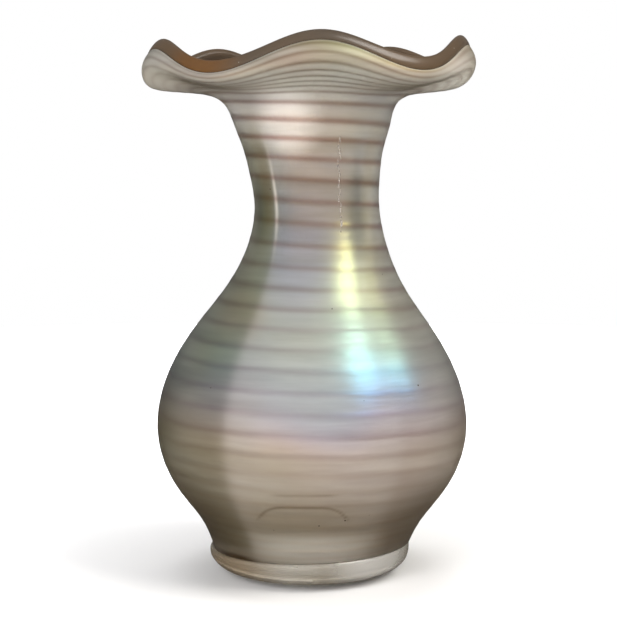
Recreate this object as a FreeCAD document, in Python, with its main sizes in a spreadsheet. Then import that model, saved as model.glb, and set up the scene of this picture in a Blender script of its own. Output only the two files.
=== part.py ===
import FreeCAD, Part
import math
import os
import Sketcher

# Hand-blown art glass vase: five soft panels, a waisted neck, a ruffled flared mouth and an applied foot.
# Millimetres, +Z up, the front faces -Y.  The origin is the centre of the ground disc it stands on.

doc = FreeCAD.newDocument("art_glass_vase")

# ---------------------------------------------------------------- driving dimensions
sheet = doc.addObject("Spreadsheet::Sheet", "dimensions")
DIMENSIONS = [
    ("disc_radius", 24.0, "ground disc under the foot"),
    ("disc_height", 1.4, ""),
    ("disc_edge", 0.5, "rounding of the ground edge"),
    ("foot_radius", 38.3, "applied foot at its widest"),
    ("foot_seat_radius", 26.0, "flat under the foot, around the disc"),
    ("heel_height", 9.2, "where the rounded heel turns upright"),
    ("heel_arc", 14.0, "radius of the rounded heel"),
    ("foot_shoulder", 0.8, "rounding of the foot's upper edge"),
    ("seam_height", 11.6, "joint of foot and body at the centre"),
    ("seam_tilt", 1.9, "degrees the joint leans, up to the right"),
    ("waist_radius", 37.9, "body where it meets the foot"),
    ("belly_radius", 60.7, "control radius of the belly"),
    ("belly_height", 55.5, ""),
    ("neck_radius", 22.7, "control radius of the neck"),
    ("neck_height", 138.8, ""),
    ("throat_radius", 31.6, "where the neck turns into the flare"),
    ("throat_height", 180.6, ""),
    ("crest_radius", 60.5, "lip at the top of a ruffle"),
    ("crest_height", 199.3, ""),
    ("dip_radius", 62.8, "lip at the bottom of a ruffle"),
    ("dip_height", 188.8, ""),
    ("rim_lean", 1.0, "rise of the lip at the right side"),
    ("foot_shift", 0.9, "foot centre beside the disc centre"),
    ("body_shift", 1.8, "body axis beside the disc centre"),
    ("neck_bow", 2.4, "sideways bow of the neck"),
    ("rim_shift", 1.2, "rim set back to the left of the body axis"),
    ("casing_wall", 1.7, "outer gather"),
    ("gather_wall", 1.3, "inner gather"),
    ("floor_height", 16.2, "bottom of the inside"),
    ("kick_height", 24.6, "top of the kick-up in the floor"),
    ("kick_radius", 14.0, ""),
    ("lip_band", 4.9, "height of the lip wrap"),
    ("lip_overhang", 0.45, "lip wrap beyond the wall, each side"),
    ("thread_width", 1.5, ""),
    ("thread_rise", 0.3, "thread standing proud of the casing"),
    ("thread_turns", 34, ""),
]
size = {}
for row, (alias, value, note) in enumerate(DIMENSIONS, start=1):
    sheet.set(f"A{row}", alias)
    sheet.set(f"B{row}", str(value))
    sheet.setAlias(f"B{row}", alias)
    sheet.set(f"C{row}", note)
doc.recompute()
for alias, value, note in DIMENSIONS:
    size[alias] = float(sheet.get(alias))

PANELS = 5
COLUMNS = 90
THREAD_STEPS = 48


# ---------------------------------------------------------------- shape of the body
def ramp(value, start, end):
    """Smooth step from 0 at start to 1 at end."""
    share = min(max((value - start) / (end - start), 0.0), 1.0)
    return share * share * (3 - 2 * share)


def climb(start, end, shares):
    """Points between two (radius, height) points, placed by their shares of the height and radius."""
    return [
        (start[0] + across * (end[0] - start[0]), start[1] + up * (end[1] - start[1]))
        for up, across in shares
    ]


WAIST = (size["waist_radius"], size["seam_height"])
BELLY = (size["belly_radius"], size["belly_height"])
NECK = (size["neck_radius"], size["neck_height"])
THROAT = (size["throat_radius"], size["throat_height"])
CREST = (size["crest_radius"], size["crest_height"])
DIP = (size["dip_radius"], size["dip_height"])

BODY_ROWS = (
    climb(WAIST, BELLY, [(0, 0), (0.18, 0.12), (0.35, 0.38), (0.60, 0.76), (1, 1)])
    + climb(BELLY, NECK, [(0.24, 0.10), (0.45, 0.36), (0.62, 0.67), (0.79, 0.88), (1, 1)])
    + climb(NECK, THROAT, [(0.33, 0.21), (0.56, 0.38), (0.77, 0.78), (1, 1)])
)
CREST_ROWS = climb(THROAT, CREST, [(0.20, 0.36), (0.36, 0.85), (0.68, 1.17), (1, 1)])
DIP_ROWS = climb(THROAT, DIP, [(0.33, 0.33), (0.41, 0.75), (0.58, 1.04), (1, 1)])


def panel_angle(azimuth, height):
    """Azimuth within the five-fold pattern; the front panel widens up the neck and evens out at the rim."""
    start = math.radians(3.5 * ramp(height, 90, 180))
    spread = math.radians(-6 + 21 * ramp(height, 93, 150) - 15 * ramp(height, 165, 186))
    turn = azimuth - start
    return turn - spread * math.sin(turn)


def crease_depth(height):
    """Share of the radius lost at the bottom of a crease between panels."""
    along_body = 0.02 * ramp(height, 15, 45) * (1 - ramp(height, 165, 182))
    at_neck = 0.06 * math.exp(-(((height - 148) / 18) ** 2))
    return along_body + at_neck


def meridian(azimuth):
    """Control points (radius, height) of the outer surface at one azimuth, foot to lip."""
    points = []
    for radius, height in BODY_ROWS:
        ruffle = 0.5 + 0.5 * math.cos(PANELS * panel_angle(azimuth, height))
        points.append((radius * (1 - crease_depth(height) * (1 - ruffle) ** 5), height))
    for rank, (crest, dip) in enumerate(zip(CREST_ROWS, DIP_ROWS), start=1):
        ruffle = 0.5 + 0.5 * math.cos(PANELS * panel_angle(azimuth, crest[1]))
        lean = size["rim_lean"] * math.sin(azimuth) * (rank / len(CREST_ROWS)) ** 3
        radius = dip[0] + ruffle * (crest[0] - dip[0])
        points.append((radius, dip[1] + ruffle * (crest[1] - dip[1]) + lean))
    across = points[0][0] * math.sin(azimuth) + size["body_shift"] - size["foot_shift"]
    points[0] = (points[0][0], points[0][1] + across * math.tan(math.radians(size["seam_tilt"])))
    return points


def inset(points, distance):
    """The same meridian moved towards the axis side by a wall thickness."""
    moved = []
    for i, (radius, height) in enumerate(points):
        before = points[max(i - 1, 0)]
        after = points[min(i + 1, len(points) - 1)]
        run = after[0] - before[0]
        rise = after[1] - before[1]
        length = math.hypot(run, rise)
        moved.append((radius - distance * rise / length, height + distance * run / length))
    return moved


def place(azimuth, radius, height):
    """Point in space; the neck bows to the right and the rim sits a little to the left."""
    bow = size["neck_bow"] * math.exp(-(((height - 131) / 24) ** 2))
    back = size["rim_shift"] * ramp(height, 172, 186)
    return FreeCAD.Vector(radius * math.sin(azimuth) + bow - back, -radius * math.cos(azimuth), height)


AZIMUTHS = [2 * math.pi * i / COLUMNS for i in range(COLUMNS)]
RING_GAIN = 3 / (2 + math.cos(2 * math.pi / COLUMNS))


def rings(make_meridian):
    """Rings of poles, one per control point, from a function giving the meridian at an azimuth."""
    columns = [
        [place(azimuth, radius * RING_GAIN, height) for radius, height in make_meridian(azimuth)]
        for azimuth in AZIMUTHS
    ]
    return [list(ring) for ring in zip(*columns)]


def outer_skin(azimuth):
    return meridian(azimuth)


def middle_skin(azimuth):
    """Between the gathers: a flat floor over the foot, then the wall."""
    wall = inset(meridian(azimuth), size["casing_wall"])
    floor = size["floor_height"] - size["gather_wall"]
    return [(26, floor), (33, floor)] + wall[1:]


def inner_skin(azimuth):
    """Inside of the vessel: kick-up, floor, wall."""
    wall = inset(meridian(azimuth), size["casing_wall"] + size["gather_wall"])
    kick = size["kick_radius"]
    top = size["kick_height"]
    floor = size["floor_height"]
    bottom = [(0.6 * kick, top), (kick, top), (1.3 * kick, floor + 2), (1.6 * kick, floor), (31, floor)]
    return bottom + wall[2:]


# ---------------------------------------------------------------- surfaces from rings of poles
def clamped(count, degree):
    spans = count - degree
    return list(range(spans + 1)), [degree + 1] + [1] * (spans - 1) + [degree + 1]


def skin(poles):
    """Smooth surface through closed rings of poles."""
    degree = min(3, len(poles) - 1)
    knots, mults = clamped(len(poles), degree)
    around = len(poles[0])
    surface = Part.BSplineSurface()
    surface.buildFromPolesMultsKnots(
        poles, mults, [1] * (around + 1), knots, list(range(around + 1)), False, True, degree, 3
    )
    return surface


def disc(ring):
    """Flat face inside one planar ring of poles."""
    around = len(ring)
    curve = Part.BSplineCurve()
    curve.buildFromPolesMultsKnots(ring, [1] * (around + 1), list(range(around + 1)), True, 3)
    return Part.Face(Part.Wire([curve.toShape()]))


def closed_solid(faces):
    shell = Part.Shell(faces)
    shell.sewShape()
    solid = Part.Solid(shell)
    if solid.Volume < 0:
        solid.reverse()
    return solid


def add_feature(name, shape):
    feature = doc.addObject("Part::Feature", name)
    feature.Label = name
    feature.Shape = shape
    feature.Placement = FreeCAD.Placement(FreeCAD.Vector(size["body_shift"], 0, 0), FreeCAD.Rotation())
    return feature


outer_rings = rings(outer_skin)
middle_rings = rings(middle_skin)
inner_rings = rings(inner_skin)
outer_surface = skin(outer_rings)
middle_surface = skin(middle_rings)

outer_casing = add_feature(
    "outer_casing",
    closed_solid([
        outer_surface.toShape(),
        middle_surface.toShape(),
        skin([outer_rings[-1], middle_rings[-1]]).toShape(),
        disc(outer_rings[0]),
        disc(middle_rings[0]),
    ]),
)
inner_gather = add_feature(
    "inner_gather",
    closed_solid([
        middle_surface.toShape(),
        skin(inner_rings).toShape(),
        skin([middle_rings[-1], inner_rings[-1]]).toShape(),
        disc(middle_rings[0]),
        disc(inner_rings[0]),
    ]),
)


# ---------------------------------------------------------------- lip wrap
def lip_rings():
    """Rounded band carried on the end of both walls."""
    band = size["lip_band"]
    over = size["lip_overhang"]
    rows = [[] for _ in range(8)]
    for i in range(COLUMNS):
        outside = outer_rings[-1][i]
        inside = inner_rings[-1][i]
        out = (outside - inside).normalize()
        up = (outer_rings[-1][i] - outer_rings[-2][i]).normalize()
        section = [
            outside,
            outside + out * over,
            outside + out * over + up * band * 0.5,
            outside + up * band * 1.08,
            inside + up * band * 1.08,
            inside - out * over + up * band * 0.5,
            inside - out * over,
            inside,
        ]
        for row, point in zip(rows, section):
            row.append(point)
    return rows


lip = lip_rings()
lip_wrap = add_feature("lip_wrap", closed_solid([skin(lip).toShape(), skin([lip[0], lip[-1]]).toShape()]))


# ---------------------------------------------------------------- trailed thread
def arc_lengths(samples):
    """Running length up the front of the outer surface at even parameter steps."""
    last = len(outer_rings) - 3
    points = [outer_surface.value(last * i / samples, 0) for i in range(samples + 1)]
    lengths = [0.0]
    for a, b in zip(points, points[1:]):
        lengths.append(lengths[-1] + (b - a).Length)
    return lengths


LENGTHS = arc_lengths(400)


def height_parameter(length):
    """Surface parameter at a length up the wall."""
    last = len(outer_rings) - 3
    for i in range(len(LENGTHS) - 1):
        if LENGTHS[i + 1] >= length:
            share = (length - LENGTHS[i]) / (LENGTHS[i + 1] - LENGTHS[i])
            return last * (i + share) / (len(LENGTHS) - 1)
    return last


def thread_point(turn):
    """Centre of the thread, the direction across it and the outward direction, after some turns."""
    share = turn / size["thread_turns"]
    close_up = 0.85
    eased = share + close_up * ((1 - math.cos(math.pi * share)) / math.pi - 2 * share / math.pi)
    start = 2.5
    length = start + (LENGTHS[-1] - start - 1.2) * eased
    azimuth = -2 * math.pi * turn
    u = height_parameter(length)
    v = (azimuth / (2 * math.pi) * COLUMNS) % COLUMNS
    centre = outer_surface.value(u, v)
    along_u, along_v = outer_surface.tangent(u, v)
    out = along_v.cross(along_u).normalize()
    return centre, along_u.normalize(), out


def through(points):
    """Poles of a cubic that passes close to every point."""
    inner = []
    for before, here, after in zip(points, points[1:], points[2:]):
        inner.append(here - (before - here * 2 + after) / 6)
    return [points[0]] + inner + [points[-1]]


def thread_rails():
    """The four long edges of the thread: foot, shoulder, shoulder, foot."""
    steps = int(size["thread_turns"] * THREAD_STEPS)
    half = size["thread_width"] / 2
    rise = size["thread_rise"]
    rails = [[], [], [], []]
    for step in range(steps + 1):
        centre, across, out = thread_point(step / THREAD_STEPS)
        section = [(-half, 0.02), (-half * 0.65, rise), (half * 0.65, rise), (half, 0.02)]
        for rail, (beside, above) in zip(rails, section):
            rail.append(centre + across * beside + out * above)
    return [through(rail) for rail in rails]


def strip(rail, next_rail):
    """Ruled face between two long edges."""
    knots, mults = clamped(len(rail), 3)
    surface = Part.BSplineSurface()
    surface.buildFromPolesMultsKnots([rail, next_rail], [2, 2], mults, [0, 1], knots, False, False, 1, 3)
    return surface.toShape()


def end_cap(rails, index):
    """Flat face closing the thread at its first or last section."""
    corners = [rail[index] for rail in rails]
    return Part.Face(Part.makePolygon(corners + corners[:1]))


rails = thread_rails()
thread_faces = [strip(rails[i], rails[(i + 1) % 4]) for i in range(4)]
thread_caps = [end_cap(rails, 0), end_cap(rails, -1)]
thread_trail = add_feature("thread_trail", closed_solid(thread_faces + thread_caps))


# ---------------------------------------------------------------- foot and ground disc
def origin_plane(body, role):
    return [item for item in body.Origin.OriginFeatures if item.Role == role][0]


def new_sketch(body, name, role):
    sketch = body.newObject("Sketcher::SketchObject", name)
    sketch.AttachmentSupport = [(origin_plane(body, role), "")]
    sketch.MapMode = "FlatFace"
    return sketch


def dimension(sketch, kind, targets, value, label, alias):
    """A driven sketch dimension tied to the sheet."""
    index = sketch.addConstraint(Sketcher.Constraint(kind, *targets, value))
    sketch.renameConstraint(index, label)
    sketch.setExpression(f"Constraints.{label}", alias)


def close_chain(sketch, count):
    for i in range(count):
        sketch.addConstraint(Sketcher.Constraint("Coincident", i, 2, (i + 1) % count, 1))


foot = doc.addObject("PartDesign::Body", "foot_wafer")
foot.Label = "foot_wafer"
foot_outline = new_sketch(foot, "foot_outline", "XZ_Plane")
top = size["seam_height"] + 3
corners = [
    FreeCAD.Vector(0, size["disc_height"], 0),
    FreeCAD.Vector(size["foot_seat_radius"], size["disc_height"], 0),
    FreeCAD.Vector(size["foot_radius"], size["heel_height"], 0),
    FreeCAD.Vector(size["foot_radius"], top, 0),
    FreeCAD.Vector(0, top, 0),
]
chord = corners[2] - corners[1]
bulge = size["heel_arc"] - math.sqrt(size["heel_arc"] ** 2 - (chord.Length / 2) ** 2)
middle = (corners[1] + corners[2]) * 0.5 + FreeCAD.Vector(chord.y, -chord.x, 0).normalize() * bulge
foot_outline.addGeometry(Part.LineSegment(corners[0], corners[1]))
foot_outline.addGeometry(Part.Arc(corners[1], middle, corners[2]))
foot_outline.addGeometry(Part.LineSegment(corners[2], corners[3]))
foot_outline.addGeometry(Part.LineSegment(corners[3], corners[4]))
foot_outline.addGeometry(Part.LineSegment(corners[4], corners[0]))
close_chain(foot_outline, 5)
foot_outline.addConstraint(Sketcher.Constraint("Horizontal", 0))
foot_outline.addConstraint(Sketcher.Constraint("Vertical", 2))
foot_outline.addConstraint(Sketcher.Constraint("Horizontal", 3))
foot_outline.addConstraint(Sketcher.Constraint("PointOnObject", 0, 1, -2))
foot_outline.addConstraint(Sketcher.Constraint("PointOnObject", 4, 1, -2))
dimension(foot_outline, "DistanceY", (-1, 1, 0, 1), corners[0].y, "seat", "dimensions.disc_height")
dimension(foot_outline, "DistanceX", (-1, 1, 0, 2), corners[1].x, "flat", "dimensions.foot_seat_radius")
dimension(foot_outline, "DistanceX", (-1, 1, 2, 1), corners[2].x, "width", "dimensions.foot_radius")
dimension(foot_outline, "DistanceY", (-1, 1, 2, 1), corners[2].y, "heel", "dimensions.heel_height")
dimension(foot_outline, "Radius", (1,), size["heel_arc"], "arc", "dimensions.heel_arc")
dimension(foot_outline, "DistanceY", (-1, 1, 3, 1), top, "top", "dimensions.seam_height + 3")
turned = foot.newObject("PartDesign::Revolution", "foot_turned")
turned.Profile = foot_outline
turned.ReferenceAxis = (foot_outline, ["V_Axis"])
turned.Angle = 360

reach = 50.0
slope = "tan(dimensions.seam_tilt * 1 deg)"
seam = new_sketch(foot, "seam_cut", "XZ_Plane")
drop = reach * math.tan(math.radians(size["seam_tilt"]))
cut = [
    FreeCAD.Vector(-reach, size["seam_height"] - drop, 0),
    FreeCAD.Vector(reach, size["seam_height"] + drop, 0),
    FreeCAD.Vector(reach, 30, 0),
    FreeCAD.Vector(-reach, 30, 0),
]
for i in range(4):
    seam.addGeometry(Part.LineSegment(cut[i], cut[(i + 1) % 4]))
close_chain(seam, 4)
seam.addConstraint(Sketcher.Constraint("Vertical", 1))
seam.addConstraint(Sketcher.Constraint("Horizontal", 2))
seam.addConstraint(Sketcher.Constraint("Vertical", 3))
seam.addConstraint(Sketcher.Constraint("DistanceX", 0, 1, -1, 1, reach))
seam.addConstraint(Sketcher.Constraint("DistanceX", -1, 1, 1, 1, reach))
seam.addConstraint(Sketcher.Constraint("DistanceY", -1, 1, 2, 1, 30))
dimension(seam, "DistanceY", (-1, 1, 0, 1), cut[0].y, "low", f"dimensions.seam_height - {reach} * {slope}")
dimension(seam, "DistanceY", (-1, 1, 0, 2), cut[1].y, "high", f"dimensions.seam_height + {reach} * {slope}")
levelled = foot.newObject("PartDesign::Pocket", "foot_seam")
levelled.Profile = seam
levelled.Type = "ThroughAll"
levelled.Midplane = True
doc.recompute()
upper_edge = max(
    (edge for edge in enumerate(levelled.Shape.Edges, start=1) if not edge[1].Curve.TypeId.endswith("Line")),
    key=lambda edge: edge[1].CenterOfGravity.z,
)
rounded = foot.newObject("PartDesign::Fillet", "foot_shoulder")
rounded.Base = (levelled, [f"Edge{upper_edge[0]}"])
rounded.setExpression("Radius", "dimensions.foot_shoulder")
foot.setExpression("Placement.Base.x", "dimensions.foot_shift")

pontil = doc.addObject("PartDesign::Body", "pontil_disc")
pontil.Label = "pontil_disc"
circle = new_sketch(pontil, "disc_outline", "XY_Plane")
circle.addGeometry(Part.Circle(FreeCAD.Vector(0, 0, 0), FreeCAD.Vector(0, 0, 1), size["disc_radius"]))
circle.addConstraint(Sketcher.Constraint("Coincident", 0, 3, -1, 1))
dimension(circle, "Radius", (0,), size["disc_radius"], "disc", "dimensions.disc_radius")
wad = pontil.newObject("PartDesign::Pad", "wad")
wad.Profile = circle
wad.setExpression("Length", "dimensions.disc_height")
doc.recompute()
ground = [i for i, edge in enumerate(wad.Shape.Edges, start=1) if edge.BoundBox.ZMax < 0.01]
eased = pontil.newObject("PartDesign::Fillet", "ground_edge")
eased.Base = (wad, [f"Edge{i}" for i in ground])
eased.setExpression("Radius", "dimensions.disc_edge")
doc.recompute()

# ---------------------------------------------------------------- check and write
NODES = [inner_gather, outer_casing, thread_trail, lip_wrap, foot, pontil]
for item in doc.Objects:
    if "Invalid" in item.State or "Error" in item.State:
        raise RuntimeError(f"{item.Name} did not compute: {item.State}")
os.makedirs("parts", exist_ok=True)
for node in NODES:
    if node.Shape.isNull() or not node.Shape.isValid():
        raise RuntimeError(f"{node.Label} has no valid shape")
    node.Shape.exportStep(f"parts/{node.Label}.step")
    box = node.Shape.BoundBox
    print(f"{node.Label:14s} volume {node.Shape.Volume:10.1f}  z {box.ZMin:7.2f} to {box.ZMax:7.2f}")
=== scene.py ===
import math
import random

import bpy
import numpy as np
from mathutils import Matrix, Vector


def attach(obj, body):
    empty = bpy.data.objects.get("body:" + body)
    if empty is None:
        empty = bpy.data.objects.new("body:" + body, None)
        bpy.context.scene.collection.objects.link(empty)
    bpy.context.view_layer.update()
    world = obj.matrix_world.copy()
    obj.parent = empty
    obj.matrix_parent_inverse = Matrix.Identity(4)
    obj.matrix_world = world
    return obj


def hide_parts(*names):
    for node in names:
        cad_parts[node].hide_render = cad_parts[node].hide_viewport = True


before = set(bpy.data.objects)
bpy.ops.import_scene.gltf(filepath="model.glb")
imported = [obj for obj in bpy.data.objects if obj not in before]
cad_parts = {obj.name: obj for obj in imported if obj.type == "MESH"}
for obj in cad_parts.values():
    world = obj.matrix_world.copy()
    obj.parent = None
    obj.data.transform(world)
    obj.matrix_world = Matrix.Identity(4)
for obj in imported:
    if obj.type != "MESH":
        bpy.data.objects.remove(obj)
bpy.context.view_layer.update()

MM = 0.001
PANELS = 5
COLUMNS = 90  # poles in a ring of the vessel's surfaces
ROUND = 288  # mesh points round the vessel

# ---------------------------------------------------------------- sizes in mm
# As in the part, except that the lip band is 0.3 taller and the thread 0.1 wider.
SEAM_HEIGHT, SEAM_TILT = 11.6, math.radians(1.9)
FOOT_SHIFT, BODY_SHIFT = 0.9, 1.8
NECK_BOW, RIM_SHIFT, RIM_LEAN = 2.4, 1.2, 1.0
BODY_CREASE, NECK_CREASE = 0.02, 0.06
CASING_WALL, GATHER_WALL = 1.7, 1.3
GAP = 0.1  # between casing and lining, so that their faces stay apart
FLOOR_HEIGHT, KICK_HEIGHT, KICK_RADIUS = 16.2, 24.6, 14.0
LIP_BAND, LIP_OVERHANG = 5.2, 0.45
THREAD_TURNS, THREAD_WIDTH = 34, 1.6
THREAD_START, THREAD_END, THREAD_EASE = 2.5, 1.2, 0.85
SWELL = 0.05  # rise of the casing over the thread
FOOT_RADIUS, FOOT_SEAT, HEEL_HEIGHT = 38.3, 26, 9.2
DISC_RADIUS, DISC_HEIGHT = 24, 1.4


# ---------------------------------------------------------------- the vessel's surface
def ramp(value, start, end):
    """Smooth step from 0 at start to 1 at end."""
    share = np.clip((value - start) / (end - start), 0, 1)
    return share * share * (3 - 2 * share)


def climb(start, end, shares):
    """Points between two (radius, height) points, by their shares of the height and radius."""
    return [(start[0] + a * (end[0] - start[0]), start[1] + u * (end[1] - start[1])) for u, a in shares]


WAIST, BELLY, NECK, THROAT = (37.9, SEAM_HEIGHT), (60.7, 55.5), (22.7, 138.8), (31.6, 180.6)
CREST, DIP = (60.5, 199.3), (62.8, 188.8)
BODY_ROWS = (
    climb(WAIST, BELLY, [(0, 0), (0.18, 0.12), (0.35, 0.38), (0.60, 0.76), (1, 1)])
    + climb(BELLY, NECK, [(0.24, 0.10), (0.45, 0.36), (0.62, 0.67), (0.79, 0.88), (1, 1)])
    + climb(NECK, THROAT, [(0.33, 0.21), (0.56, 0.38), (0.77, 0.78), (1, 1)])
)
CREST_ROWS = climb(THROAT, CREST, [(0.20, 0.36), (0.36, 0.85), (0.68, 1.17), (1, 1)])
DIP_ROWS = climb(THROAT, DIP, [(0.33, 0.33), (0.41, 0.75), (0.58, 1.04), (1, 1)])
AZIMUTHS = np.arange(COLUMNS) * 2 * math.pi / COLUMNS


def panel_angle(azimuth, height):
    """Azimuth within the five-fold pattern of panels and ruffles."""
    turn = azimuth - math.radians(3.5) * ramp(height, 90, 180)
    spread = np.radians(-6 + 21 * ramp(height, 93, 150) - 15 * ramp(height, 165, 186))
    return turn - spread * np.sin(turn)


def crease_depth(height):
    """Share of the radius lost at the bottom of a crease between panels."""
    along_body = BODY_CREASE * ramp(height, 15, 45) * (1 - ramp(height, 165, 182))
    return along_body + NECK_CREASE * np.exp(-(((height - 148) / 18) ** 2))


def meridians():
    """Radius and height of each row of poles at every azimuth."""
    radii, heights = [], []
    for radius, height in BODY_ROWS:
        ruffle = 0.5 + 0.5 * np.cos(PANELS * panel_angle(AZIMUTHS, height))
        radii.append(radius * (1 - crease_depth(height) * (1 - ruffle) ** 5))
        heights.append(np.full(COLUMNS, height))
    for rank, (crest, dip) in enumerate(zip(CREST_ROWS, DIP_ROWS), start=1):
        ruffle = 0.5 + 0.5 * np.cos(PANELS * panel_angle(AZIMUTHS, crest[1]))
        radii.append(dip[0] + ruffle * (crest[0] - dip[0]))
        lean = RIM_LEAN * np.sin(AZIMUTHS) * (rank / len(CREST_ROWS)) ** 3
        heights.append(dip[1] + ruffle * (crest[1] - dip[1]) + lean)
    across = radii[0] * np.sin(AZIMUTHS) + BODY_SHIFT - FOOT_SHIFT
    heights[0] = heights[0] + across * math.tan(SEAM_TILT)
    return np.array(radii), np.array(heights)


RADII, HEIGHTS = meridians()


def inset(distance):
    """The meridians moved inwards by a wall thickness."""
    run = np.gradient(RADII, axis=0)
    rise = np.gradient(HEIGHTS, axis=0)
    length = np.hypot(run, rise)
    return RADII - distance * rise / length, HEIGHTS + distance * run / length


def poles(radii, heights):
    """Pole lattice in space, mm, with the neck's sideways bow."""
    gain = 3 / (2 + math.cos(2 * math.pi / COLUMNS))
    bow = NECK_BOW * np.exp(-(((heights - 131) / 24) ** 2)) - RIM_SHIFT * ramp(heights, 172, 186)
    across = radii * gain * np.sin(AZIMUTHS) + bow + BODY_SHIFT
    return np.stack([across, -radii * gain * np.cos(AZIMUTHS), heights], -1)


def floor_rows(points, radii, heights):
    """Rows of poles across the bottom put in front of the wall's rows."""
    low_r = np.array([[r] * COLUMNS for r, h in points])
    low_h = np.array([[h] * COLUMNS for r, h in points])
    return np.concatenate([low_r, radii]), np.concatenate([low_h, heights])


def profile_basis(params, count):
    """Clamped cubic B-spline weights at params (0 to 1) for a number of poles."""
    spans = count - 3
    knots = np.concatenate([[0] * 3, np.arange(spans + 1), [spans] * 3]).astype(float)
    x = np.clip(np.asarray(params) * spans, 0, spans - 1e-9)
    weights = np.array([(knots[i] <= x) & (x < knots[i + 1]) for i in range(len(knots) - 1)]).astype(float)
    for degree in range(1, 4):
        lifted = []
        for i in range(len(knots) - 1 - degree):
            left = knots[i + degree] - knots[i]
            right = knots[i + degree + 1] - knots[i + 1]
            term = np.zeros_like(x)
            if left > 0:
                term = term + (x - knots[i]) / left * weights[i]
            if right > 0:
                term = term + (knots[i + degree + 1] - x) / right * weights[i + 1]
            lifted.append(term)
        weights = np.array(lifted)
    return weights.T


def ring_basis(azimuths):
    """Periodic cubic B-spline weights round the vessel."""
    place = np.asarray(azimuths) / (2 * math.pi) * COLUMNS
    cell = np.floor(place).astype(int)
    f = place - cell
    cubic = [
        (1 - f) ** 3 / 6,
        (3 * f**3 - 6 * f**2 + 4) / 6,
        (-3 * f**3 + 3 * f**2 + 3 * f + 1) / 6,
        f**3 / 6,
    ]
    weights = np.zeros((len(place), COLUMNS))
    for k, share in enumerate(cubic):
        np.add.at(weights, (np.arange(len(place)), (cell - 1 + k) % COLUMNS), share)
    return weights


def surface(lattice, params, azimuths):
    """Grid of points on the surface of a pole lattice."""
    return np.einsum("ai,bj,ijk->abk", profile_basis(params, len(lattice)), ring_basis(azimuths), lattice)


def flat_floor(height):
    return [(0.3, height), (26, height), (33, height)]


def lined(bottom, distance, skipped):
    """Poles of a surface inside the wall: a bottom, then the wall's rows without the lowest ones."""
    return poles(*floor_rows(bottom, *[rows[skipped:] for rows in inset(distance)]))


OUTER = poles(RADII, HEIGHTS)
MIDDLE_FLOOR = FLOOR_HEIGHT - GATHER_WALL
MIDDLE = lined(flat_floor(MIDDLE_FLOOR), CASING_WALL, 1)
GATHER = lined(flat_floor(MIDDLE_FLOOR + GAP), CASING_WALL + GAP, 1)
KICK = [
    (0.3, KICK_HEIGHT), (0.6 * KICK_RADIUS, KICK_HEIGHT), (KICK_RADIUS, KICK_HEIGHT),
    (1.3 * KICK_RADIUS, FLOOR_HEIGHT + 2), (1.6 * KICK_RADIUS, FLOOR_HEIGHT), (31, FLOOR_HEIGHT),
]
INNER = lined(KICK, CASING_WALL + GATHER_WALL, 2)


# ---------------------------------------------------------------- the thread's course
FINE = np.linspace(0, 1, 1201)
FRONT = surface(OUTER, FINE, [0.0])[:, 0]
LENGTHS = np.concatenate([[0], np.cumsum(np.linalg.norm(np.diff(FRONT, axis=0), axis=1))])


def thread_length(turn):
    """Length up the wall reached after some turns: close at both ends, open in the middle."""
    share = np.asarray(turn) / THREAD_TURNS
    eased = share + THREAD_EASE * ((1 - np.cos(math.pi * share)) / math.pi - 2 * share / math.pi)
    return THREAD_START + (LENGTHS[-1] - THREAD_START - THREAD_END) * eased


TURNS = np.linspace(0, THREAD_TURNS, 2001)


def thread_softness(turn):
    """Distance between turns, and distance over which the thread melts into the wall, in mm."""
    pitch = np.interp(turn, TURNS, np.gradient(thread_length(TURNS), TURNS))
    return pitch, np.clip(0.2 * pitch, 0.45, 1.2)


def thread_nearness(params, azimuths):
    """How strongly each point of a grid belongs to the thread, 0 to 1."""
    length = np.interp(params, FINE, LENGTHS)[:, None]
    turn = np.interp(length, thread_length(TURNS), TURNS)
    phase = turn + np.asarray(azimuths)[None, :] / (2 * math.pi)
    away = phase - np.round(phase)
    pitch, soft = thread_softness(turn)
    near = np.exp(-((away * pitch / soft) ** 2))
    reached = (length > THREAD_START - 0.5) & (length < LENGTHS[-1] - THREAD_END + 0.2)
    return np.where(reached, near, 0.0)


def thread_sections():
    """Turn, centre, upward and outward direction of the trail's sections along its spiral."""
    turns = np.arange(THREAD_TURNS * ROUND + 1) / ROUND
    params = np.interp(thread_length(turns), LENGTHS, FINE)
    azimuths = (-2 * math.pi * turns) % (2 * math.pi)

    def on_casing(step_up, step_round):
        rows = profile_basis(params + step_up, len(OUTER))
        return np.einsum("ai,aj,ijk->ak", rows, ring_basis(azimuths + step_round), OUTER)

    centre = on_casing(0, 0)
    up = on_casing(1e-3, 0) - centre
    up /= np.linalg.norm(up, axis=1)[:, None]
    along = on_casing(0, 1e-3) - centre
    out = np.cross(along, up)
    out /= np.linalg.norm(out, axis=1)[:, None]
    return turns, centre, up, out


# ---------------------------------------------------------------- mesh helpers
def new_mesh(name, points, faces):
    """Smooth-shaded object from points in mm and faces of point numbers."""
    mesh = bpy.data.meshes.new(name)
    mesh.from_pydata([tuple(p) for p in np.asarray(points) * MM], [], faces)
    mesh.validate()
    mesh.polygons.foreach_set("use_smooth", [True] * len(mesh.polygons))
    piece = bpy.data.objects.new(name, mesh)
    bpy.context.collection.objects.link(piece)
    return piece


def grid_faces(rows, columns, offset=0, flip=False, closed_rows=False):
    """Faces between rings of points, one ring per row."""
    faces = []
    for i in range(rows if closed_rows else rows - 1):
        up = (i + 1) % rows
        for j in range(columns):
            k = (j + 1) % columns
            quad = [offset + corner for corner in (
                i * columns + j, i * columns + k, up * columns + k, up * columns + j
            )]
            faces.append(quad[::-1] if flip else quad)
    return faces


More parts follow.
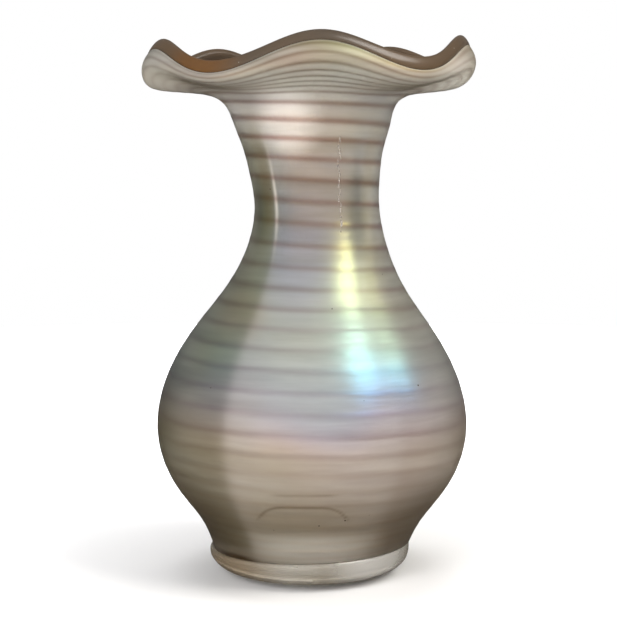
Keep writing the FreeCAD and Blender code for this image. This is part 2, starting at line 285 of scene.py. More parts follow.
def attribute(piece, name, values):
    """A number at every point of a mesh, for its material to read."""
    layer = piece.data.attributes.new(name, "FLOAT", "POINT")
    layer.data.foreach_set("value", np.asarray(values, dtype=np.float32).ravel())


def finish_piece(piece, node, material):
    """Material, body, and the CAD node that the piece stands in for."""
    piece.data.materials.append(material)
    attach(piece, "root")
    if node:
        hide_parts(node)


# ---------------------------------------------------------------- materials
def grey(level):
    return (level,) * 3


class Nodes:
    """Short hand for building a node tree."""

    def __init__(self, name):
        self.material = bpy.data.materials.new(name)
        self.material.use_nodes = True
        self.tree = self.material.node_tree
        self.shader = self.tree.nodes["Principled BSDF"]

    def add(self, kind, **settings):
        node = self.tree.nodes.new(kind)
        for key, value in settings.items():
            setattr(node, key, value)
        return node

    def link(self, a, b):
        self.tree.links.new(a, b)

    def set(self, **values):
        for key, value in values.items():
            self.shader.inputs[key.replace("_", " ")].default_value = value

    def position(self, scale=(1, 1, 1)):
        coords = self.add("ShaderNodeTexCoord")
        mapping = self.add("ShaderNodeMapping")
        mapping.inputs["Scale"].default_value = scale
        self.link(coords.outputs["Object"], mapping.inputs["Vector"])
        return mapping.outputs["Vector"]

    def noise(self, scale, stretch=(1, 1, 1), detail=3.0, rough=0.5):
        node = self.add("ShaderNodeTexNoise")
        node.inputs["Scale"].default_value = scale
        node.inputs["Detail"].default_value = detail
        node.inputs["Roughness"].default_value = rough
        self.link(self.position(stretch), node.inputs["Vector"])
        return node.outputs["Fac"]

    def height(self, low, high):
        """0 to 1 between two heights in mm."""
        split = self.add("ShaderNodeSeparateXYZ")
        self.link(self.position(), split.inputs[0])
        span = self.add("ShaderNodeMapRange")
        span.inputs["From Min"].default_value = low * MM
        span.inputs["From Max"].default_value = high * MM
        self.link(split.outputs["Z"], span.inputs["Value"])
        return span.outputs["Result"]

    def patch(self, centre, reach):
        """1 at a place in mm, falling smoothly to 0 at its reach."""
        coords = self.add("ShaderNodeTexCoord")
        mapping = self.add("ShaderNodeMapping")
        mapping.inputs["Scale"].default_value = [1 / (r * MM) for r in reach]
        mapping.inputs["Location"].default_value = [-c / r for c, r in zip(centre, reach)]
        self.link(coords.outputs["Object"], mapping.inputs["Vector"])
        length = self.add("ShaderNodeVectorMath", operation="LENGTH")
        self.link(mapping.outputs["Vector"], length.inputs[0])
        fall = self.add("ShaderNodeMapRange", interpolation_type="SMOOTHSTEP")
        fall.inputs["From Min"].default_value = 1.25
        fall.inputs["From Max"].default_value = 0.25
        self.link(length.outputs["Value"], fall.inputs["Value"])
        return fall.outputs["Result"]

    def ramp(self, value, stops):
        """Colours along a value, from (place, colour) stops."""
        node = self.add("ShaderNodeValToRGB")
        marks = node.color_ramp.elements
        marks.remove(marks[-1])
        marks[0].position = stops[0][0]
        marks[0].color = (*stops[0][1], 1)
        for place, colour in stops[1:]:
            marks.new(place).color = (*colour, 1)
        self.link(value, node.inputs["Fac"])
        return node.outputs["Color"]

    def span(self, value, lo, hi, out_lo=0.0, out_hi=1.0):
        """A value between lo and hi stretched to between out_lo and out_hi."""
        node = self.add("ShaderNodeMapRange")
        node.inputs["From Min"].default_value = lo
        node.inputs["From Max"].default_value = hi
        node.inputs["To Min"].default_value = out_lo
        node.inputs["To Max"].default_value = out_hi
        self.link(value, node.inputs["Value"])
        return node.outputs["Result"]

    def mix(self, share, a, b, blend="MIX"):
        node = self.add("ShaderNodeMix", data_type="RGBA", blend_type=blend)
        for socket, value in ((node.inputs["Factor"], share), (node.inputs["A"], a), (node.inputs["B"], b)):
            if isinstance(value, (int, float)):
                socket.default_value = value
            elif isinstance(value, tuple):
                socket.default_value = (*value, 1)
            else:
                self.link(value, socket)
        return node.outputs["Result"]

    def math(self, kind, a, b):
        node = self.add("ShaderNodeMath", operation=kind)
        for socket, value in ((node.inputs[0], a), (node.inputs[1], b)):
            if isinstance(value, (int, float)):
                socket.default_value = value
            else:
                self.link(value, socket)
        return node.outputs[0]

    def read(self, name):
        return self.add("ShaderNodeAttribute", attribute_name=name).outputs["Fac"]

    def bump(self, height, distance, strength=1.0, after=None):
        node = self.add("ShaderNodeBump")
        node.inputs["Distance"].default_value = distance * MM
        node.inputs["Strength"].default_value = strength
        self.link(height, node.inputs["Height"])
        if after is not None:
            self.link(after, node.inputs["Normal"])
        return node.outputs["Normal"]


def film(n):
    """Thickness of the iridised skin in nm: violet low down, then blue, green and gold up the wall."""
    band = n.ramp(n.height(40, 150), [
        (0.00, grey(0.45)), (0.12, grey(0.47)), (0.20, grey(0.58)), (0.28, grey(0.68)),
        (0.36, grey(0.76)), (0.46, grey(0.86)), (0.60, grey(0.96)), (0.78, grey(1.0)),
    ])
    drift = n.span(n.noise(15, (1, 1, 0.8), 2), 0.3, 0.7, -16.0, 16.0)
    thickness = n.math("ADD", n.math("MULTIPLY", band, 250.0), drift)
    n.link(thickness, n.shader.inputs["Thin Film Thickness"])
    n.set(Thin_Film_IOR=1.85)


# Places of drifting tints and of painted shade: centre and reach in mm, tint that the colour is multiplied
# by, strength. Besides the colour tints, some entries are painted shade: in the neck's creases, down the
# body's left and right edges and along the seam above the foot.
TINTS_AND_PAINTED_SHADE = [
    ((-3, -27, 122), (15, 22, 30), (0.83, 0.84, 1.10), 0.9),
    ((-26, -35, 104), (12, 26, 13), (0.98, 0.78, 0.64), 0.7),
    ((-36, -42, 90), (13, 26, 13), (0.90, 0.94, 0.74), 0.7),
    # Painted shade in the dark band left of the neck's left crease.
    ((-17, -14, 140), (5.5, 12, 17), (0.42, 0.40, 0.38), 0.85),
    # Painted shade down the left side of the body.
    ((-58, -6, 72), (15, 40, 40), (0.46, 0.48, 0.40), 0.9),
    ((-38, -14, 27), (17, 30, 22), (0.56, 0.46, 0.34), 0.8),
    ((0, -45, 22), (40, 40, 24), (0.88, 0.85, 0.71), 0.8),
    ((36, -20, 30), (20, 30, 20), (0.55, 0.52, 0.46), 0.9),
    # Painted shade down the right edge of the body.
    ((60, -8, 75), (12, 40, 40), (0.66, 0.63, 0.58), 0.85),
    ((2, -25, 139), (32, 24, 27), (0.64, 0.63, 0.68), 0.9),
    # Painted shadow along the seam between the foot and the body, at the left.
    ((-27, -27, 11.2), (18, 18, 1.9), (0.12, 0.08, 0.05), 1.0),
    # Painted shade in the neck's right crease.
    ((18, -18, 138), (5, 10, 18), (0.68, 0.66, 0.64), 0.9),
    ((3, -60, 200), (42, 14, 5), (0.62, 0.54, 0.47), 0.8),
]
# Places where the skin is set paler: centre and reach in mm, colour, strength. The three under the rim and
# its ruffles are painted light, standing in for light thrown up from the table; the one low at the front is
# paler too.
MILKY_AND_PAINTED_LIGHT = [
    ((54, -10, 186), (16, 40, 12), (0.95, 0.94, 0.90), 1.0),
    ((-56, -10, 186), (14, 40, 11), (0.74, 0.70, 0.66), 0.8),
    ((1, -38, 17), (28, 15, 9), (0.95, 0.93, 0.84), 1.0),
    ((2, -44, 180), (34, 20, 7), (0.64, 0.60, 0.57), 0.6),
]


def pearl_colour(n):
    """Beige-grey with drifting lavender, green, amber and darker places and fine drawn streaks, with
    painted shade in creases, on the side panels, at the body's edges and along the seam, painted light
    under the rim, a painted reflection on the upper neck and a painted highlight along the neck's left
    crease.
    """
    by_height = n.ramp(n.height(10, 205), [
        (0.00, (0.42, 0.36, 0.29)), (0.15, (0.47, 0.41, 0.34)), (0.28, (0.49, 0.455, 0.40)),
        (0.50, (0.51, 0.495, 0.455)), (0.70, (0.48, 0.48, 0.48)), (0.86, (0.44, 0.43, 0.44)),
        (1.00, (0.34, 0.31, 0.30)),
    ])
    lavender = n.span(n.noise(11, (1, 1, 0.7), 2), 0.50, 0.66)
    colour = n.mix(n.math("MULTIPLY", lavender, 0.3), by_height, (0.48, 0.47, 0.54))
    green = n.span(n.noise(17, (1, 1, 1.4), 2), 0.56, 0.72)
    colour = n.mix(n.math("MULTIPLY", green, 0.25), colour, (0.42, 0.47, 0.36))
    streak = n.span(n.noise(26, (1, 1, 9), 4), 0.35, 0.65)
    colour = n.mix(n.math("MULTIPLY", streak, 0.45), colour, (0.66, 0.63, 0.58))
    wisp = n.span(n.noise(15, (1, 1, 13), 4, 0.6), 0.47, 0.66)
    colour = n.mix(n.math("MULTIPLY", wisp, 0.5), colour, (0.37, 0.33, 0.29))
    for centre, reach, tint, strength in TINTS_AND_PAINTED_SHADE:
        colour = n.mix(n.math("MULTIPLY", n.patch(centre, reach), strength), colour, tint, "MULTIPLY")
    for centre, reach, paler_colour, strength in MILKY_AND_PAINTED_LIGHT:
        colour = n.mix(n.math("MULTIPLY", n.patch(centre, reach), strength), colour, paler_colour)
    # Painted shade: the left panel darker and greener, the right panel a little darker, as if lit from the
    # right front.
    colour = n.mix(n.read("left_panel_shade"), colour, (0.48, 0.48, 0.41), "MULTIPLY")
    colour = n.mix(n.math("MULTIPLY", n.read("right_panel_shade"), 0.8), colour, (0.82, 0.79, 0.76), "MULTIPLY")
    # Painted reflection of the bright table: a streaky cream patch on the upper neck at the left.
    reflection_streaks = n.span(n.noise(30, (1, 1, 6), 3), 0.25, 0.5, 0.6, 1.0)
    painted_table_reflection = n.math("MULTIPLY", n.patch((-8, -29, 172), (13, 18, 14)), reflection_streaks)
    colour = n.mix(painted_table_reflection, colour, (1.0, 0.98, 0.96))
    colour = n.mix(n.math("MULTIPLY", n.read("floor_fold"), 0.8), colour, (0.42, 0.35, 0.29), "MULTIPLY")
    # Painted highlight along the neck's left crease.
    return n.mix(n.read("crease_highlight"), colour, (0.80, 0.77, 0.72))


def lobe_fade(n):
    """1 over most of the wall, less under the outer ruffles where the thread washes out."""
    share = n.math("ADD", n.patch((-56, -8, 186), (16, 60, 14)), n.patch((56, -8, 186), (16, 60, 14)))
    return n.span(share, 0.0, 1.0, 1.0, 0.35)


def threaded(n, colour):
    """The same colour stained by the thread: plum at the rim, rose on the neck, washed out on the belly."""
    stain = n.ramp(n.height(10, 205), [
        (0.00, (0.90, 0.87, 0.83)), (0.15, (0.88, 0.85, 0.82)), (0.25, (0.80, 0.75, 0.75)),
        (0.45, (0.74, 0.64, 0.67)), (0.62, (0.52, 0.33, 0.38)), (0.80, (0.54, 0.33, 0.34)),
        (0.90, (0.46, 0.35, 0.37)), (1.00, (0.32, 0.26, 0.26)),
    ])
    patchy = n.math("MULTIPLY", n.span(n.noise(20, (1, 1, 1), 3), 0.3, 0.7, 0.55, 1.0), lobe_fade(n))
    return n.mix(n.math("MULTIPLY", n.read("thread_halo"), patchy), colour, stain, "MULTIPLY")


def skin_bump(n):
    """Fine drawn lines on broad unevenness."""
    drawn = n.bump(n.noise(30, (1, 1, 7), 2), 0.3)
    n.link(n.bump(n.noise(9, (1, 1, 2.2), 2), 0.4, 1.0, drawn), n.shader.inputs["Normal"])


def clearness(n):
    """Clearer low down, where the floor of the vessel shows through."""
    share = n.ramp(n.height(10, 205), [(0.0, grey(0.85)), (0.2, grey(0.62)), (1.0, grey(0.58))])
    n.link(share, n.shader.inputs["Transmission Weight"])


def pearl_casing():
    """Iridised clear casing over the opal lining."""
    n = Nodes("pearl_glass")
    n.link(threaded(n, pearl_colour(n)), n.shader.inputs["Base Color"])
    smooth = n.ramp(n.height(10, 205), [
        (0.0, grey(0.29)), (0.86, grey(0.30)), (0.92, grey(0.55)), (1.0, grey(0.6)),
    ])
    uneven = n.span(n.noise(60, (1, 1, 5), 3), 0.3, 0.7, 0.0, 0.08)
    n.link(n.math("ADD", smooth, uneven), n.shader.inputs["Roughness"])
    skin_bump(n)
    film(n)
    clearness(n)
    n.set(IOR=1.5, Coat_Weight=0.12, Coat_Roughness=0.2)
    return n.material


def opal_lining():
    """Milky lining with the thread of the far wall and of the outside showing faintly."""
    n = Nodes("opal_glass")
    colour = n.ramp(n.height(14, 205), [
        (0.0, (0.40, 0.31, 0.22)), (0.25, (0.56, 0.51, 0.43)), (0.8, (0.56, 0.52, 0.47)),
        (1.0, (0.34, 0.28, 0.23)),
    ])
    streak = n.span(n.noise(22, (1, 1, 8), 4), 0.35, 0.65)
    colour = n.mix(n.math("MULTIPLY", streak, 0.3), colour, (0.66, 0.63, 0.57))
    colour = n.mix(n.math("MULTIPLY", n.read("ghost"), 0.75), colour, (0.42, 0.34, 0.33), "MULTIPLY")
    n.link(colour, n.shader.inputs["Base Color"])
    n.link(n.bump(n.noise(30, (1, 1, 4), 3), 0.12), n.shader.inputs["Normal"])
    clear = n.ramp(n.height(10, 60), [(0.0, grey(0.8)), (1.0, grey(0.3))])
    n.link(clear, n.shader.inputs["Transmission Weight"])
    n.set(Roughness=0.2, IOR=1.5)
    return n.material


def rose_thread():
    """Rose thread sunk just under the skin of the casing, washed out on the belly, plum at the rim."""
    n = Nodes("rose_thread")
    rose = n.ramp(n.height(10, 205), [
        (0.00, (0.36, 0.30, 0.23)), (0.15, (0.36, 0.31, 0.27)), (0.25, (0.33, 0.28, 0.27)),
        (0.45, (0.30, 0.23, 0.25)), (0.62, (0.24, 0.11, 0.14)), (0.80, (0.27, 0.12, 0.12)),
        (0.88, (0.22, 0.14, 0.15)), (1.00, (0.10, 0.07, 0.07)),
    ])
    patchy = n.span(n.noise(20, (1, 1, 1), 3), 0.3, 0.7, 0.5, 0.0)
    washed = n.math("SUBTRACT", 1.0, lobe_fade(n))
    colour = n.mix(washed, n.mix(patchy, rose, (0.40, 0.36, 0.33)), (0.52, 0.47, 0.45))
    n.link(colour, n.shader.inputs["Base Color"])
    n.link(n.bump(n.noise(90, (1, 1, 1), 3), 0.05), n.shader.inputs["Normal"])
    n.set(Roughness=0.35, IOR=1.5)
    return n.material


def amber_lip():
    """Dark amber band, redder at the left trough, with pale seeds."""
    n = Nodes("amber_lip")
    warm = n.span(n.noise(14, (1, 1, 1), 2), 0.38, 0.62)
    colour = n.mix(warm, (0.066, 0.048, 0.032), (0.100, 0.062, 0.032))
    colour = n.mix(n.patch((-38, -48, 192), (18, 18, 12)), colour, (0.11, 0.050, 0.014))
    seed = n.span(n.noise(520, (1, 1, 1), 1), 0.76, 0.84)
    colour = n.mix(seed, colour, (0.62, 0.58, 0.50))
    n.link(colour, n.shader.inputs["Base Color"])
    n.link(n.bump(n.noise(70, (1, 1, 2), 3), 0.12), n.shader.inputs["Normal"])
    n.set(Roughness=0.32, IOR=1.45, Transmission_Weight=0.25, Coat_Weight=0.15, Coat_Roughness=0.2)
    return n.material


def clear_foot():
    """Clear glass with brown drifts at the left and a paler right side, which is painted light standing in
    for a window's glint.
    """
    n = Nodes("clear_foot")
    tint = n.mix(n.span(n.noise(24, (1, 1, 5), 4), 0.35, 0.65), (0.66, 0.62, 0.54), (0.42, 0.37, 0.29))
    tint = n.mix(n.patch((-30, -24, 8), (24, 26, 9)), tint, (0.38, 0.29, 0.19))
    # Painted highlight: the right side of the foot set paler.
    tint = n.mix(n.patch((28, -30, 8), (20, 24, 10)), tint, (0.90, 0.87, 0.81))
    n.link(tint, n.shader.inputs["Base Color"])
    n.link(n.bump(n.noise(26, (1, 1, 3), 2), 0.35), n.shader.inputs["Normal"])
    n.set(Roughness=0.10, IOR=1.5, Transmission_Weight=0.68)
    return n.material


def ground_base():
    """Ground glass, finely mottled."""
    n = Nodes("ground_base")
    tint = n.mix(n.noise(300, (1, 1, 1), 4), (0.50, 0.47, 0.43), (0.68, 0.66, 0.62))
    n.link(tint, n.shader.inputs["Base Color"])
    n.link(n.bump(n.noise(900, (1, 1, 1), 3), 0.05), n.shader.inputs["Normal"])
    n.set(Roughness=0.45, IOR=1.5, Transmission_Weight=0.5)
    return n.material


def inclusion():
    """Dark specks caught in the glass."""
    n = Nodes("inclusion")
    tint = n.mix(n.noise(900, (1, 1, 1), 2), (0.03, 0.025, 0.02), (0.12, 0.09, 0.06))
    n.link(tint, n.shader.inputs["Base Color"])
    n.set(Roughness=0.4)
    return n.material


def seed_glass():
    """Small bubbles drawn into a line."""
    n = Nodes("seed_glass")
    tint = n.mix(n.noise(700, (1, 1, 1), 2), (0.20, 0.17, 0.15), (0.42, 0.38, 0.34))
    n.link(tint, n.shader.inputs["Base Color"])
    n.set(Roughness=0.15, IOR=1.5, Transmission_Weight=0.3)
    return n.material


PEARL, OPAL, ROSE, SEED = pearl_casing(), opal_lining(), rose_thread(), seed_glass()
AMBER, CLEAR, GROUND = amber_lip(), clear_foot(), ground_base()

# ---------------------------------------------------------------- vessel walls
AROUND = np.arange(ROUND) * 2 * math.pi / ROUND
WALL = np.interp(np.linspace(0, LENGTHS[-1], 420), LENGTHS, FINE)  # rows evenly spaced up the wall


def shell(outside, inside, out_params, in_params):
    """Closed wall between two surfaces, joined at the lip, with a bottom at each first row."""
    outer = surface(outside, out_params, AROUND)
    inner = surface(inside, in_params, AROUND)
    rows_out, rows_in = len(outer), len(inner)
    points = np.concatenate([outer.reshape(-1, 3), inner.reshape(-1, 3)])
    start = rows_out * ROUND
    faces = grid_faces(rows_out, ROUND) + grid_faces(rows_in, ROUND, start, flip=True)
    top, top_in = start - ROUND, len(points) - ROUND
    for j in range(ROUND):
        k = (j + 1) % ROUND
        faces.append([top + j, top + k, top_in + k, top_in + j])
    faces.append(list(range(ROUND))[::-1])
    faces.append([start + j for j in range(ROUND)])
    return points, faces, outer, inner


def normals(grid):
    """Outward directions at the points of a grid."""
    up = np.gradient(grid, axis=0)
    along = np.roll(grid, -1, axis=1) - np.roll(grid, 1, axis=1)
    out = np.cross(along, up)
    return out / np.linalg.norm(out, axis=2)[:, :, None]


points, faces, outer_grid, _ = shell(OUTER, MIDDLE, WALL, np.linspace(0, 1, 180))
nearness = thread_nearness(WALL, AROUND)
swell = SWELL * nearness * ramp(WALL, 0.0, 0.03)[:, None] * (1 - ramp(WALL, 0.97, 1.0))[:, None]
raised = outer_grid + normals(outer_grid) * swell[:, :, None]
points[: raised.shape[0] * ROUND] = raised.reshape(-1, 3)


def panel_marks(azimuths, heights):
    """Share of the left panel's painted shade, the right panel's painted shade and the painted highlight
    along the left crease of the neck.
    """
    signed = (azimuths + math.pi) % (2 * math.pi) - math.pi
    phase = np.degrees(panel_angle(signed, heights))
    fade = ramp(heights, 9, 18) * (1 - ramp(heights, 160, 178))
    left = fade * (0.5 - 0.5 * np.tanh((phase + 36) / 3.0)) * (0.5 + 0.5 * np.tanh((phase + 108) / 6.0))
    right = fade * (0.5 + 0.5 * np.tanh((phase - 36) / 3.0)) * (0.5 - 0.5 * np.tanh((phase - 108) / 6.0))
    bright = np.exp(-(((phase + 35) / 1.6) ** 2)) * np.exp(-(((heights - 143) / 15) ** 2))
    return {"left_panel_shade": left, "right_panel_shade": right, "crease_highlight": bright}


def floor_fold(grid):
    """Outline of the floor's kick-up showing through the front of the wall, and a drawn line above it."""
    x, y, z = np.moveaxis(grid, -1, 0)
    low, rise, half, softness = 30, 5.8, 16, 0.5
    side = np.abs((x + 1.5) / half)
    slope = np.hypot(1, 5 * rise * side**4 / half)
    above_arch = (z - low - rise * (1 - side**5)) / slope
    arch = np.exp(-((above_arch / softness) ** 2)) * ramp(z, 28.5, 31) * (side < 1.15)
    above_line = z - 40.6 - 0.01 * x
    drawn = 0.7 * np.exp(-((above_line / softness) ** 2)) * ramp(x, -15, -9) * (1 - ramp(x, 7, 13))
    return (arch + drawn) * (y < 0)


casing = new_mesh("pearl_casing", points, faces)
marks = panel_marks(np.tile(AROUND, (len(WALL), 1)), outer_grid[:, :, 2])
marks["thread_halo"] = nearness
marks["floor_fold"] = floor_fold(outer_grid)
for name, values in marks.items():
    whole = np.zeros(len(points))
    whole[: values.size] = values.ravel()
    attribute(casing, name, whole)
finish_piece(casing, "outer_casing", PEARL)


def faint_thread(grid, azimuths):
    """The thread at the same heights, fading out towards the floor."""
    heights = grid[:, 0, 2]
    near = thread_nearness(np.interp(heights, FRONT[:, 2], FINE), azimuths)
    return (near * ramp(heights, 18, 34)[:, None]).ravel()


GATHER_ROWS, INNER_ROWS = np.linspace(0, 1, 240), np.linspace(0, 1, 260)
points, faces, gather_grid, inner_grid = shell(GATHER, INNER, GATHER_ROWS, INNER_ROWS)
lining = new_mesh("opal_lining", points, faces)
far_side, near_side = faint_thread(gather_grid, math.pi - AROUND), faint_thread(inner_grid, AROUND)
attribute(lining, "ghost", np.concatenate([far_side, 0.6 * near_side]))
finish_piece(lining, "inner_gather", OPAL)

# ---------------------------------------------------------------- trailed thread
rng = random.Random(7)
turns, centre, up, out = thread_sections()
PROFILE = [  # share of the half width, and mm out from the wall
    (-1, -0.25), (-0.75, -0.12), (-0.4, -0.07), (0, -0.06),
    (0.4, -0.07), (0.75, -0.12), (1, -0.25), (0, -0.5),
]
pitch, soft = thread_softness(turns)
wander = np.sin(turns * 2 * math.pi * 1.37) * 0.10 + np.sin(turns * 2 * math.pi * 3.1 + 1.0) * 0.06
taper = np.clip(np.minimum(turns, THREAD_TURNS - turns) / 0.12, 0.05, 1)
width = np.minimum(THREAD_WIDTH / 2, 0.17 * pitch) * (1 + wander) * taper
sections = []
for beside, above in PROFILE:
    melt = SWELL * np.exp(-((beside * width / soft) ** 2))
    sections.append(centre + up * (beside * width)[:, None] + out * (above + melt)[:, None])
points = np.stack(sections, 1).reshape(-1, 3)
faces = grid_faces(len(turns), len(PROFILE), flip=True)
faces.append(list(range(len(PROFILE))))
faces.append([(len(turns) - 1) * len(PROFILE) + j for j in range(len(PROFILE))][::-1])
trail = new_mesh("rose_trail", points, faces)
finish_piece(trail, "thread_trail", ROSE)

# ---------------------------------------------------------------- lip wrap
outside = surface(OUTER, [1.0, 0.995], AROUND)
inside = surface(INNER, [1.0], AROUND)[0]
rise = outside[0] - outside[1]
rise /= np.linalg.norm(rise, axis=1)[:, None]
across = outside[0] - inside
across /= np.linalg.norm(across, axis=1)[:, None]
uneven = 1 + 0.07 * np.sin(3 * AROUND + 0.6) + 0.05 * np.sin(7 * AROUND + 2.0)
over, band = (LIP_OVERHANG * uneven)[:, None], (LIP_BAND * (1 + 0.05 * np.sin(4 * AROUND)))[:, None]
middle = (outside[0] + inside) / 2
half = np.linalg.norm(outside[0] - inside, axis=1)[:, None] / 2
reach = half + over
LIP = []
for angle in np.radians(np.linspace(-90, 270, 24, endpoint=False)):
    swing_x, swing_y = math.cos(angle), math.sin(angle)
    flat = abs(swing_x) ** 0.75 * (1 if swing_x > 0 else -1)
    lift = (0.5 + 0.5 * abs(swing_y) ** 0.8 * (1 if swing_y > 0 else -1)) * band - 0.1
    LIP.append(middle + across * flat * reach + rise * lift)
points = np.concatenate(LIP)
faces = grid_faces(len(LIP), ROUND, closed_rows=True)
lip = new_mesh("amber_lip_band", points, faces)
finish_piece(lip, "lip_wrap", AMBER)

# ---------------------------------------------------------------- foot
def turned(name, outline, shift, tilt=0.0, tilt_from=0.0):
    """Solid of a turned outline; its points above tilt_from lean with the seam."""
    rings = []
    for radius, height in outline:
        side, depth = radius * np.sin(AROUND), -radius * np.cos(AROUND)
        share = np.clip((height - tilt_from) / (SEAM_HEIGHT - tilt_from), 0, 1)
        rings.append(np.stack([side + shift, depth, height + share * side * math.tan(tilt)], -1))
    faces = grid_faces(len(outline), ROUND)
    faces.append(list(range(ROUND))[::-1])
    faces.append([(len(outline) - 1) * ROUND + j for j in range(ROUND)])
    return new_mesh(name, np.concatenate(rings), faces)


heel = []
for swing in np.linspace(0, math.pi / 2, 15):
    out_share, up_share = math.sin(swing) ** 0.95, (1 - math.cos(swing)) ** 1.05
    heel.append((
        FOOT_SEAT + (FOOT_RADIUS - FOOT_SEAT) * out_share,
        DISC_HEIGHT + (HEEL_HEIGHT - DISC_HEIGHT) * up_share,
    ))
foot_outline = [(0.2, DISC_HEIGHT), (13, DISC_HEIGHT), (FOOT_SEAT - 0.6, DISC_HEIGHT)] + heel + [
    (FOOT_RADIUS, SEAM_HEIGHT - 1.5), (FOOT_RADIUS - 0.1, SEAM_HEIGHT - 0.9),
    (FOOT_RADIUS - 0.35, SEAM_HEIGHT - 0.4), (FOOT_RADIUS - 0.8, SEAM_HEIGHT - 0.08),
    (FOOT_RADIUS - 1.5, SEAM_HEIGHT), (20, SEAM_HEIGHT), (0.2, SEAM_HEIGHT),
]
foot = turned("clear_foot_wafer", foot_outline, FOOT_SHIFT, SEAM_TILT, 6.0)
finish_piece(foot, "foot_wafer", CLEAR)

disc_top = DISC_HEIGHT - 0.05
disc_outline = [
    (0.2, 0.0), (12, 0.0), (DISC_RADIUS - 0.6, 0.0), (DISC_RADIUS - 0.25, 0.1), (DISC_RADIUS - 0.05, 0.3),
    (DISC_RADIUS, 0.6), (DISC_RADIUS, disc_top), (12, disc_top), (0.2, disc_top),
]
disc = turned("ground_disc", disc_outline, 0.0)
finish_piece(disc, "pontil_disc", GROUND)

# ---------------------------------------------------------------- seeds and specks in the glass
def unit(vector):
    return vector / np.linalg.norm(vector)


def on_wall(height, azimuth):
    """Point on the outer surface near a height, with its upward, sideways and outward directions."""
    row = int(np.argmin(np.abs(FRONT[:, 2] - height)))
    here = surface(OUTER, [FINE[row], min(FINE[row] + 1e-3, 1)], [azimuth, azimuth + 1e-3])
    upward = here[1, 0] - here[0, 0]
    sideways = here[0, 1] - here[0, 0]
    return here[0, 0], unit(upward), unit(sideways), unit(np.cross(sideways, upward))


BEAD_RINGS, BEAD_SIDES = 5, 8


def beads(name, items, material):
    """Small stretched drops on the wall: (height, azimuth, half width, half height, half depth)."""
    points, faces = [], []
    for height, azimuth, wide, tall, deep in items:
        at, upward, sideways, outward = on_wall(height, azimuth)
        first = len(points)
        for i in range(1, BEAD_RINGS + 1):
            polar = math.pi * i / (BEAD_RINGS + 1)
            for j in range(BEAD_SIDES):
                turn = 2 * math.pi * j / BEAD_SIDES
                points.append(
                    at + upward * tall * math.cos(polar)
                    + sideways * wide * math.sin(polar) * math.cos(turn)
                    + outward * deep * math.sin(polar) * math.sin(turn)
                )
        top, bottom, last = len(points), len(points) + 1, len(points) - BEAD_SIDES
        points += [at + upward * tall, at - upward * tall]
        faces += grid_faces(BEAD_RINGS, BEAD_SIDES, first)
        for j in range(BEAD_SIDES):
            k = (j + 1) % BEAD_SIDES
            faces += [[top, first + j, first + k], [bottom, last + k, last + j]]
    finish_piece(new_mesh(name, points, faces), None, material)


SEED_DEPTH, SPECK_DEPTH = 0.22, 0.1
SEED_TOP, SEED_END, SEED_AZIMUTH = 166.0, 131, 21
seeds = []
height = SEED_TOP
while height > SEED_END:
    azimuth = math.radians(SEED_AZIMUTH + rng.uniform(-1.2, 1.2))
    seeds.append((height, azimuth, rng.uniform(0.22, 0.45), rng.uniform(0.4, 1.3), SEED_DEPTH))
    height -= rng.uniform(0.9, 2.6)
beads("seed_line", seeds, SEED)
specks = []
for _ in range(26):
    height, azimuth = rng.uniform(22, 175), rng.uniform(0, 2 * math.pi)
    specks.append((height, azimuth, rng.uniform(0.12, 0.3), rng.uniform(0.12, 0.35), SPECK_DEPTH))
specks += [(30.0, math.radians(14), 0.4, 0.3, SPECK_DEPTH), (28.0, math.radians(3), 0.3, 0.35, SPECK_DEPTH)]
beads("specks", specks, inclusion())

# ---------------------------------------------------------------- floor, lights, camera
FLOOR_RINGS, FLOOR_SIDES = (10, 150, 400, 900), 96
FLOOR_TURNS = [2 * math.pi * j / FLOOR_SIDES for j in range(FLOOR_SIDES)]
points = [(r * math.sin(turn), r * math.cos(turn), 0.0) for r in FLOOR_RINGS for turn in FLOOR_TURNS]
faces = grid_faces(len(FLOOR_RINGS), FLOOR_SIDES)
faces.append(list(range(FLOOR_SIDES)))
table_top = new_mesh("pale_floor", points, faces)
paper = Nodes("pale_floor")
tone = paper.mix(paper.noise(3, (1, 1, 1), 2), grey(0.86), grey(0.90))
paper.link(tone, paper.shader.inputs["Base Color"])
glow = paper.math("MULTIPLY", paper.math("SUBTRACT", 1.0, paper.patch((0, 0, 0), (260, 260, 260))), 0.9)
paper.link(glow, paper.shader.inputs["Emission Strength"])
paper.set(Roughness=0.9, Emission_Color=(1, 1, 1, 1))
table_top.data.materials.append(paper.material)
table_top.visible_glossy = False


def softbox(name, place, target, size, power, colour=(1, 1, 1), mirrored=True):
    """Rectangular lamp, which the glass reflects only if mirrored."""
    light = bpy.data.lights.new(name, "AREA")
    light.shape = "RECTANGLE"
    light.size, light.size_y = size
    light.energy = power
    light.color = colour
    lamp = bpy.data.objects.new(name, light)
    lamp.location = place
    lamp.rotation_euler = (Vector(target) - Vector(place)).to_track_quat("-Z", "Y").to_euler()
    lamp.visible_glossy = mirrored
    lamp.visible_transmission = mirrored
    bpy.context.collection.objects.link(lamp)


WARM, COOL = (1.0, 0.97, 0.93), (0.98, 0.98, 1.0)
softbox("key", (0.74, -0.455, 0.86), (0.02, -0.03, 0.10), (0.60, 0.66), 10.5, (1.0, 0.97, 0.92))
softbox("fill", (-0.8, -1.4, 0.8), (0, 0, 0.10), (0.9, 1.0), 20, COOL, mirrored=False)
softbox("bounce", (-0.12, -0.42, 0.005), (0, -0.03, 0.18), (0.5, 0.3), 2.4, WARM, mirrored=False)
softbox("top", (-0.1, 0.3, 1.6), (0, 0, 0.12), (1.2, 1.2), 16, mirrored=False)

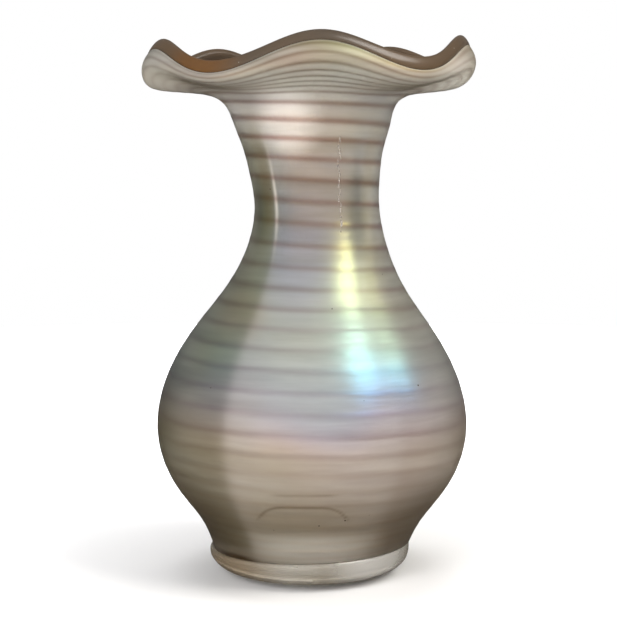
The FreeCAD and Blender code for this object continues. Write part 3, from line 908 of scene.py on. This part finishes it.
# The room is white to the camera, and to the glass a dim one that is darker behind the vase.
world = bpy.data.worlds.new("studio")
world.use_nodes = True
tree = world.node_tree
room = tree.nodes["Background"]
room.inputs["Strength"].default_value = 0.62
paper_white = tree.nodes.new("ShaderNodeBackground")
paper_white.inputs["Color"].default_value = (1, 1, 1, 1)
path = tree.nodes.new("ShaderNodeLightPath")
blend = tree.nodes.new("ShaderNodeMixShader")
coords = tree.nodes.new("ShaderNodeTexCoord")
split = tree.nodes.new("ShaderNodeSeparateXYZ")
tree.links.new(coords.outputs["Generated"], split.inputs[0])


def world_ramp(axis, stops):
    """Colours along one axis of the room, -1 to 1."""
    place = tree.nodes.new("ShaderNodeMapRange")
    place.inputs["From Min"].default_value = -1
    shade = tree.nodes.new("ShaderNodeValToRGB")
    shade.color_ramp.elements[0].color = (*stops[0][1], 1)
    shade.color_ramp.elements[1].color = (*stops[-1][1], 1)
    for at, colour in stops[1:-1]:
        shade.color_ramp.elements.new(at).color = (*colour, 1)
    tree.links.new(split.outputs[axis], place.inputs["Value"])
    tree.links.new(place.outputs["Result"], shade.inputs["Fac"])
    return shade.outputs["Color"]


upright = world_ramp("Z", [
    (0.0, (0.36, 0.29, 0.22)), (0.40, (0.42, 0.36, 0.30)), (0.52, (0.78, 0.77, 0.75)),
    (0.75, (0.95, 0.95, 0.96)), (1.0, (0.9, 0.9, 0.92)),
])
depth = world_ramp("Y", [
    (0.0, grey(1)), (0.45, grey(0.75)), (0.72, (0.30, 0.30, 0.29)), (1.0, (0.36, 0.35, 0.34)),
])
joined = tree.nodes.new("ShaderNodeMix")
joined.data_type, joined.blend_type = "RGBA", "MULTIPLY"
joined.inputs["Factor"].default_value = 1
tree.links.new(upright, joined.inputs["A"])
tree.links.new(depth, joined.inputs["B"])
tree.links.new(joined.outputs["Result"], room.inputs["Color"])
tree.links.new(path.outputs["Is Camera Ray"], blend.inputs[0])
tree.links.new(room.outputs[0], blend.inputs[1])
tree.links.new(paper_white.outputs[0], blend.inputs[2])
tree.links.new(blend.outputs[0], tree.nodes["World Output"].inputs["Surface"])
bpy.context.scene.world = world

camera = bpy.data.cameras.new("camera")
camera.sensor_width = 36
camera.lens = 96.2723
camera.clip_start, camera.clip_end = 0.01, 20
viewer = bpy.data.objects.new("camera", camera)
viewer.location = (0.0005, -0.627, 0.163)
viewer.rotation_euler = (math.radians(90 - 5.6), 0, 0)
bpy.context.collection.objects.link(viewer)
bpy.context.scene.camera = viewer
bpy.context.scene.view_settings.view_transform = "Standard"
